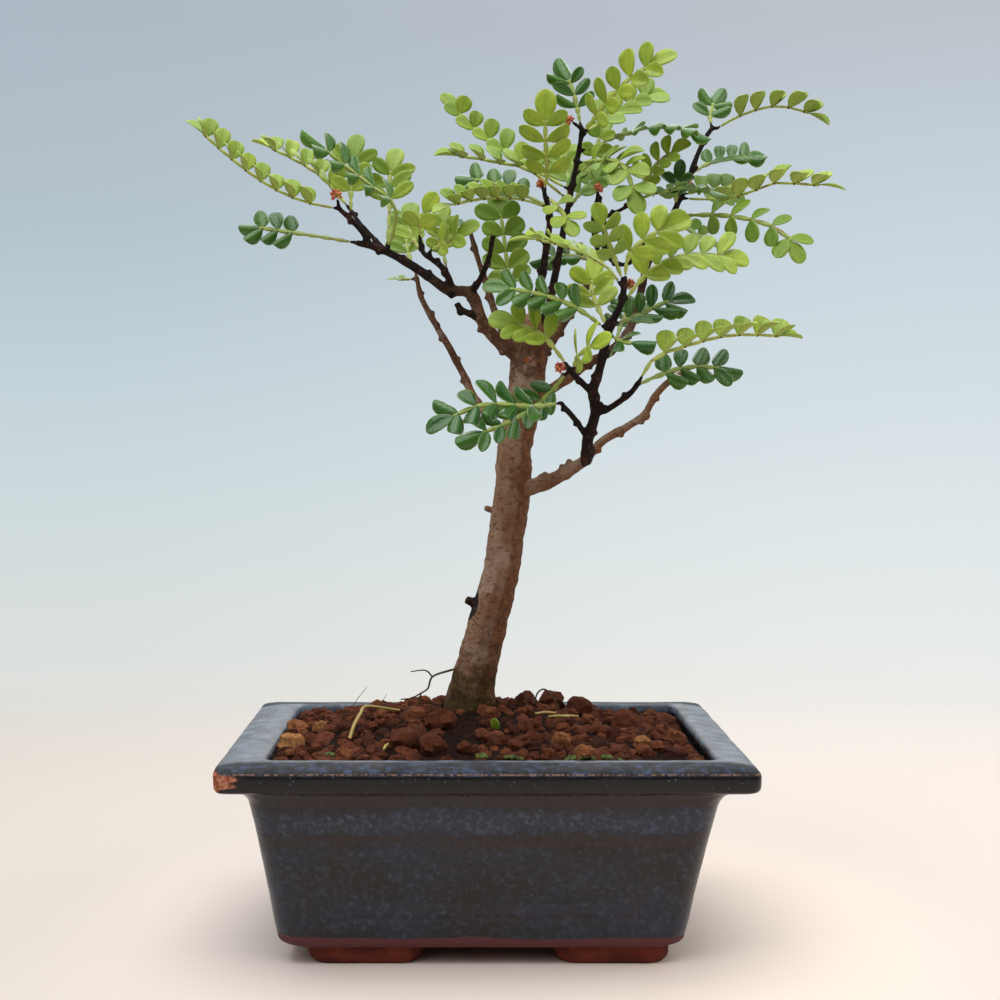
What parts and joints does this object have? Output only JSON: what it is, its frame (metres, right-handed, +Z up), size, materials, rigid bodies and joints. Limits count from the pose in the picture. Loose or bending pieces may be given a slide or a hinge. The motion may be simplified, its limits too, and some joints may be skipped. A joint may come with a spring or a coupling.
{
  "type": "potted chinese pepper bonsai",
  "caption": "Small potted bonsai: leaning trunk, open crown of feathery compound leaves, granular soil and an oblong glazed pot on short feet.",
  "frame": {"origin": "on the surface the pot's feet stand on, below the middle of the whole tree and pot; the pot's own middle is at X = -9.3 mm", "axes": "+Z up, the pot's long sides run along X, and its front, with the tree's best view, faces -Y"},
  "size_m": [0.2047, 0.11, 0.2719],
  "materials": {
    "glazed_pot": "gloss",
    "soil": "matte",
    "bark": "matte",
    "drain_net": "matte",
    "buds": "matte",
    "young_leaf": "satin",
    "old_leaf": "gloss"
  },
  "bodies": {
    "root": {"pot": "glazed_pot", "soil": "soil", "wood": "bark", "drain_net_left": "drain_net", "drain_net_right": "drain_net", "bud_crown": "buds", "bud_crown_low": "buds", "bud_far_right": "buds", "bud_front": "buds", "bud_front_left": "buds", "bud_left": "buds", "bud_right": "buds", "frond_left_1": "young_leaf", "frond_left_2": "old_leaf", "frond_left_3": "young_leaf", "frond_left_4": "old_leaf", "frond_left_5": "young_leaf", "frond_left_6": "young_leaf", "frond_left_7": "young_leaf", "frond_left_8": "young_leaf", "frond_left_9": "young_leaf", "frond_centre_1": "young_leaf", "frond_centre_2": "young_leaf", "frond_centre_3": "young_leaf", "frond_centre_4": "old_leaf", "frond_centre_5": "young_leaf", "frond_centre_6": "young_leaf", "frond_top_1": "old_leaf", "frond_top_2": "young_leaf", "frond_top_3": "young_leaf", "frond_top_4": "old_leaf", "frond_top_5": "young_leaf", "frond_right_1": "young_leaf", "frond_right_2": "old_leaf", "frond_right_3": "old_leaf", "frond_right_4": "young_leaf", "frond_right_5": "young_leaf", "frond_right_6": "old_leaf", "frond_right_7": "old_leaf", "frond_right_8": "old_leaf", "frond_front_1": "young_leaf", "frond_front_2": "young_leaf", "frond_front_3": "old_leaf", "frond_front_4": "young_leaf", "frond_front_5": "old_leaf", "frond_front_6": "old_leaf", "frond_front_7": "old_leaf", "frond_front_8": "old_leaf", "frond_front_9": "young_leaf", "frond_front_10": "young_leaf", "frond_front_11": "old_leaf", "frond_front_12": "young_leaf", "frond_front_13": "young_leaf", "frond_back_1": "old_leaf", "frond_back_2": "young_leaf", "frond_back_3": "young_leaf", "frond_back_4": "young_leaf", "frond_back_5": "old_leaf", "frond_back_6": "old_leaf", "frond_back_7": "young_leaf"}
  },
  "joints": []
}
